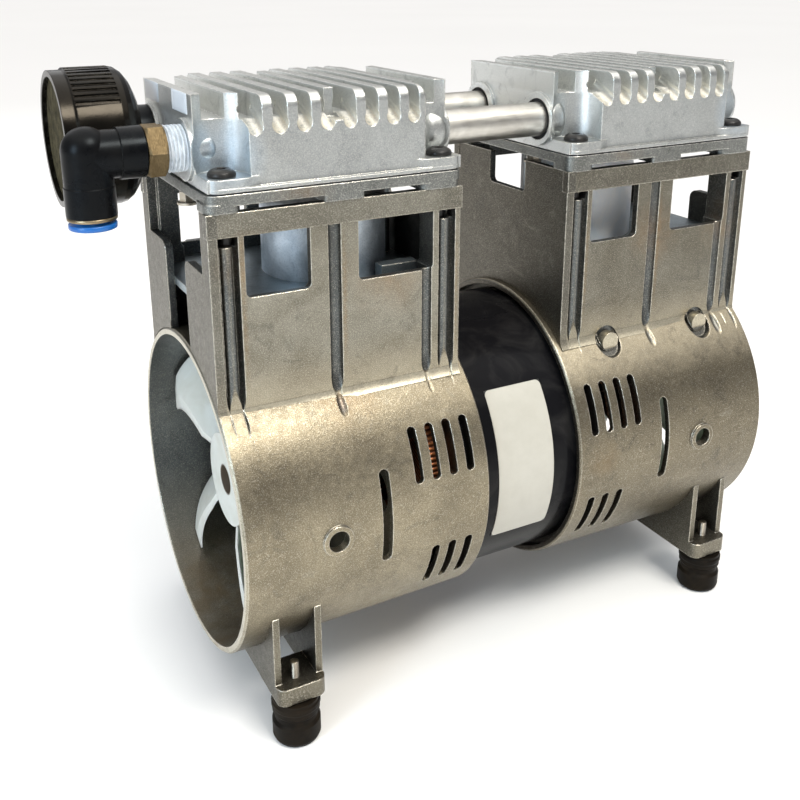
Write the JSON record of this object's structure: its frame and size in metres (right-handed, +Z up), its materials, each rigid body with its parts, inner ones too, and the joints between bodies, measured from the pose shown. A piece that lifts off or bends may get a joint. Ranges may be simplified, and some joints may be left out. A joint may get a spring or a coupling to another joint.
{
  "type": "twin-head piston vacuum pump",
  "caption": "Oil-less piston vacuum pump: motor between two cast housings with finned heads on square towers, joined by transfer tubes, with a push-in intake elbow and a muffler.",
  "frame": {"origin": "on the floor under the feet, at the middle of the whole part's length and depth", "axes": "+X along the motor shaft away from the head that carries the intake, +Y from the label side to the back, +Z up"},
  "size_m": [0.386, 0.177, 0.334],
  "materials": {
    "cast_housing": "blasted die casting, warm grey",
    "cast_head": "blasted die casting, cool grey",
    "black_paint": "gloss black paint",
    "label": "bare white film",
    "lamination": "stacked sheet",
    "enamelled_wire": "varnished copper wire",
    "plated_steel": "zinc plated",
    "bearing_steel": "ground",
    "cast_iron": "as cast",
    "bright_aluminium": "satin turned",
    "satin_tube": "satin drawn",
    "spring_steel": "polished strip",
    "gasket": "thin dark sheet",
    "black_screw": "black oxide",
    "seal_rubber": "matt",
    "brass": "machined",
    "black_plastic": "moulded, half gloss",
    "felt": "pressed felt",
    "foot_rubber": "moulded",
    "fan_plastic": "natural white, slightly clear",
    "cup_plastic": "filled fluoroplastic",
    "blue_plastic": "moulded"
  },
  "bodies": {
    "frame": {"housing_left": "cast_housing", "housing_right": "cast_housing", "tower_left": "cast_housing", "tower_right": "cast_housing", "deck_left": "cast_housing", "deck_right": "cast_housing", "legs_left": "cast_housing", "legs_right": "cast_housing", "motor_shell": "black_paint", "label_plate": "label", "stator_core": "lamination", "stator_windings": "enamelled_wire", "through_bolts": "plated_steel", "through_bolt_nuts": "plated_steel", "main_bearings": "bearing_steel", "cylinder_sleeve_left": "bright_aluminium", "cylinder_sleeve_right": "bright_aluminium", "valve_plate_left": "cast_head", "valve_plate_right": "cast_head", "valve_reeds": "spring_steel", "valve_screws": "plated_steel", "head_gasket_left": "gasket", "head_gasket_right": "gasket", "head_left": "cast_head", "head_right": "cast_head", "head_screws": "black_screw", "transfer_tubes": "satin_tube", "tube_seals": "seal_rubber", "intake_stud": "brass", "muffler_neck": "black_plastic", "muffler_body": "black_plastic", "muffler_element": "felt", "foot_studs": "plated_steel", "foot_washers": "plated_steel", "rubber_feet": "foot_rubber"},
    "crank": {"motor_shaft": "bearing_steel", "rotor_core": "lamination", "eccentric_left": "cast_iron", "eccentric_right": "cast_iron", "fan_left": "fan_plastic", "fan_right": "fan_plastic"},
    "rod_left": {"piston_rod_left": "bright_aluminium", "rod_bearing_left": "bearing_steel", "cup_seal_left": "cup_plastic", "cup_retainer_left": "bright_aluminium"},
    "rod_right": {"piston_rod_right": "bright_aluminium", "rod_bearing_right": "bearing_steel", "cup_seal_right": "cup_plastic", "cup_retainer_right": "bright_aluminium"},
    "elbow": {"elbow_body": "black_plastic", "elbow_ring": "plated_steel"},
    "collar": {"release_collar": "blue_plastic"}
  },
  "joints": [
    {"name": "crank_spin", "type": "hinge", "parent": "frame", "child": "crank", "pos_m": [0.027, 0, 0.112], "axis": [1, 0, 0], "continuous": true},
    {"name": "rod_left_pin", "type": "hinge", "parent": "crank", "child": "rod_left", "pos_m": [-0.057, 0, 0.1175], "axis": [1, 0, 0], "continuous": true},
    {"name": "rod_right_pin", "type": "hinge", "parent": "crank", "child": "rod_right", "pos_m": [0.111, 0, 0.1065], "axis": [1, 0, 0], "continuous": true},
    {"name": "elbow_swivel", "type": "hinge", "parent": "frame", "child": "elbow", "pos_m": [-0.162, -0.0295, 0.3012], "axis": [1, 0, 0], "range_deg": [-215, 35]},
    {"name": "collar_press", "type": "slide", "parent": "elbow", "child": "collar", "axis": [0, 0, 1], "range_m": [0, 0.0015], "stiffness_N_per_m": 400}
  ],
  "couplings": [
    {"joint": "rod_left_pin", "follows": "crank_spin", "ratio": -1},
    {"joint": "rod_right_pin", "follows": "crank_spin", "ratio": -1}
  ]
}
